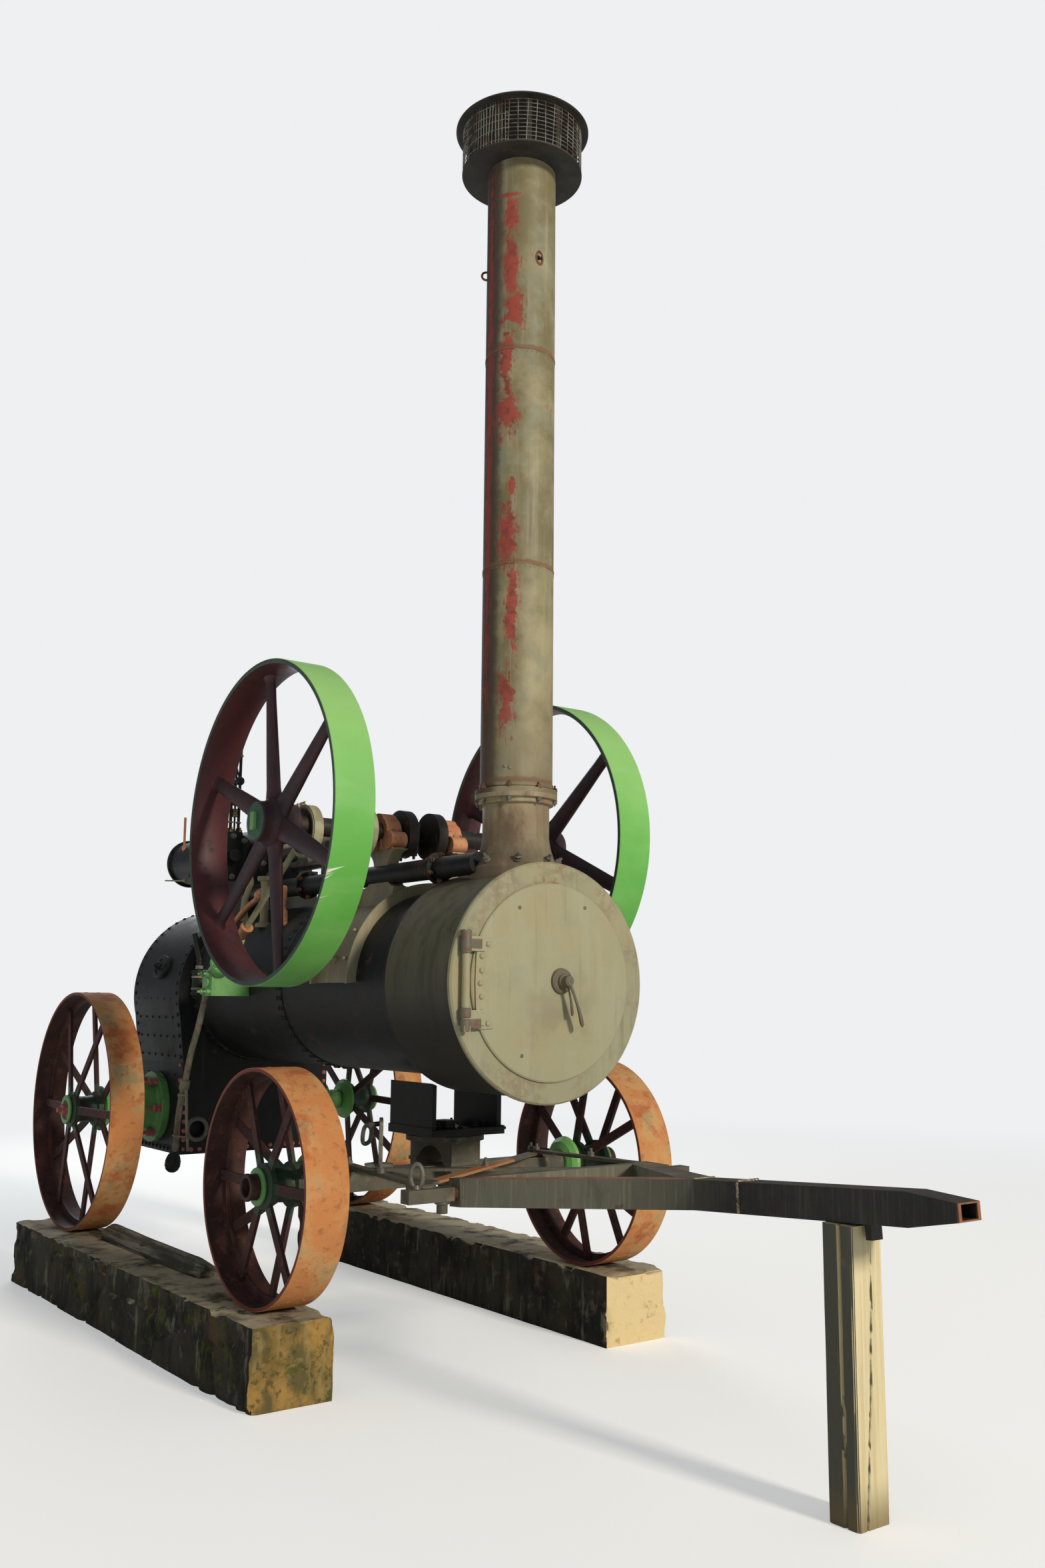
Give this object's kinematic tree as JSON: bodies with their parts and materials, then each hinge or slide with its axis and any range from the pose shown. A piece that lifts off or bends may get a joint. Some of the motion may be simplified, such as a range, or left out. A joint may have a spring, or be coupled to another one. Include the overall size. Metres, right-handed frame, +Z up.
{
  "type": "portable steam engine",
  "caption": "Horizontal boiler on iron wheels with a tall hinged chimney, crankshaft with flywheels, steered front axle and drawbar, standing on plinths.",
  "frame": {"origin": "centre of the whole part's footprint on the ground, under the boiler", "axes": "+Z up; the smokebox and drawbar face -Y, the firebox +Y; +X is the engine's left seen from the smokebox, along the crankshaft"},
  "size_m": [2.21, 5.8832, 5.853],
  "materials": {
    "plinth_concrete": "rough",
    "timber": "rough",
    "post_wood": "weathered",
    "olive_paint": "worn satin",
    "black_paint": "worn satin",
    "black_iron": "matte",
    "green_paint": "gloss",
    "rusty_iron": "rusty",
    "orange_primer": "matte",
    "bare_steel": "oily",
    "brass": "dull",
    "grey_iron": "weathered",
    "drawbar_steel": "weathered",
    "flywheel_paint": "satin"
  },
  "bodies": {
    "engine": {"plinths": "plinth_concrete", "timbers": "timber", "post": "post_wood", "smokebox": "olive_paint", "tube_plate": "black_iron", "barrel": "black_paint", "firebox": "black_paint", "foundation_ring": "black_iron", "grate": "black_iron", "stub_axles": "green_paint", "chimney_base": "rusty_iron", "saddle": "black_paint", "crank_saddle": "olive_paint", "main_bearings": "orange_primer", "cylinder_block": "black_paint", "slide_bars": "bare_steel", "crosshead": "bare_steel", "steam_dome": "black_paint", "governor": "brass", "exhaust_pipe": "black_paint", "feed_pump": "green_paint", "check_valve": "black_paint", "suction_pipe": "bare_steel", "gauges": "brass"},
    "smokebox_door": {"smokebox_door": "olive_paint", "door_darts": "black_iron"},
    "fire_door": {"fire_door": "black_iron"},
    "chimney": {"chimney": "olive_paint", "spark_cage": "rusty_iron"},
    "forecarriage": {"front_axle": "grey_iron", "brace_frame": "grey_iron"},
    "drawbar": {"drawbar": "drawbar_steel"},
    "front_wheel_left": {"front_wheel_left": "rusty_iron"},
    "front_wheel_right": {"front_wheel_right": "rusty_iron"},
    "rear_wheel_left": {"rear_wheel_left": "rusty_iron"},
    "rear_wheel_right": {"rear_wheel_right": "rusty_iron"},
    "crankshaft": {"crankshaft": "bare_steel", "flywheel_left": "flywheel_paint", "flywheel_right": "flywheel_paint"},
    "connecting_rod": {"connecting_rod": "bare_steel"},
    "valve_rod": {"valve_rod": "brass"},
    "pump_rod": {"pump_rod": "brass"}
  },
  "joints": [
    {"name": "smokebox_door_hinge", "type": "hinge", "parent": "engine", "child": "smokebox_door", "pos_m": [-0.458, -0.916, 1.69], "axis": [0, 0, 1], "range_deg": [-120, 0]},
    {"name": "fire_door_hinge", "type": "hinge", "parent": "engine", "child": "fire_door", "pos_m": [-0.212, 2.636, 1.54], "axis": [0, 0, 1], "range_deg": [0, 120]},
    {"name": "chimney_fold", "type": "hinge", "parent": "engine", "child": "chimney", "pos_m": [0, -0.412, 2.542], "axis": [1, 0, 0], "range_deg": [-84, 0]},
    {"name": "steering", "type": "hinge", "parent": "engine", "child": "forecarriage", "pos_m": [0, -0.091, 0.8213], "axis": [0, 0, 1], "range_deg": [-35, 35]},
    {"name": "drawbar_pitch", "type": "hinge", "parent": "forecarriage", "child": "drawbar", "pos_m": [0, -0.93, 0.86], "axis": [-1, 0, 0], "range_deg": [0, 25]},
    {"name": "front_wheel_left_spin", "type": "hinge", "parent": "forecarriage", "child": "front_wheel_left", "pos_m": [-0.85, -0.091, 0.8213], "axis": [1, 0, 0], "continuous": true},
    {"name": "front_wheel_right_spin", "type": "hinge", "parent": "forecarriage", "child": "front_wheel_right", "pos_m": [0.85, -0.091, 0.8213], "axis": [1, 0, 0], "continuous": true},
    {"name": "rear_wheel_left_spin", "type": "hinge", "parent": "engine", "child": "rear_wheel_left", "pos_m": [-0.87, 2.287, 0.9803], "axis": [1, 0, 0], "continuous": true},
    {"name": "rear_wheel_right_spin", "type": "hinge", "parent": "engine", "child": "rear_wheel_right", "pos_m": [0.87, 2.287, 0.9803], "axis": [1, 0, 0], "continuous": true},
    {"name": "crank_spin", "type": "hinge", "parent": "engine", "child": "crankshaft", "pos_m": [0, 0.209, 2.422], "axis": [1, 0, 0], "continuous": true},
    {"name": "connecting_rod_pin", "type": "hinge", "parent": "crankshaft", "child": "connecting_rod", "pos_m": [0, 0.336, 2.422], "axis": [1, 0, 0], "continuous": true},
    {"name": "valve_rod_pin", "type": "hinge", "parent": "crankshaft", "child": "valve_rod", "pos_m": [-0.3, 0.244, 2.422], "axis": [1, 0, 0], "continuous": true},
    {"name": "pump_rod_pin", "type": "hinge", "parent": "crankshaft", "child": "pump_rod", "pos_m": [-0.6, 0.24177, 2.39906], "axis": [1, 0, 0], "continuous": true}
  ],
  "couplings": [
    {"joint": "connecting_rod_pin", "follows": "crank_spin", "ratio": -1},
    {"joint": "valve_rod_pin", "follows": "crank_spin", "ratio": -1},
    {"joint": "pump_rod_pin", "follows": "crank_spin", "ratio": -1}
  ]
}
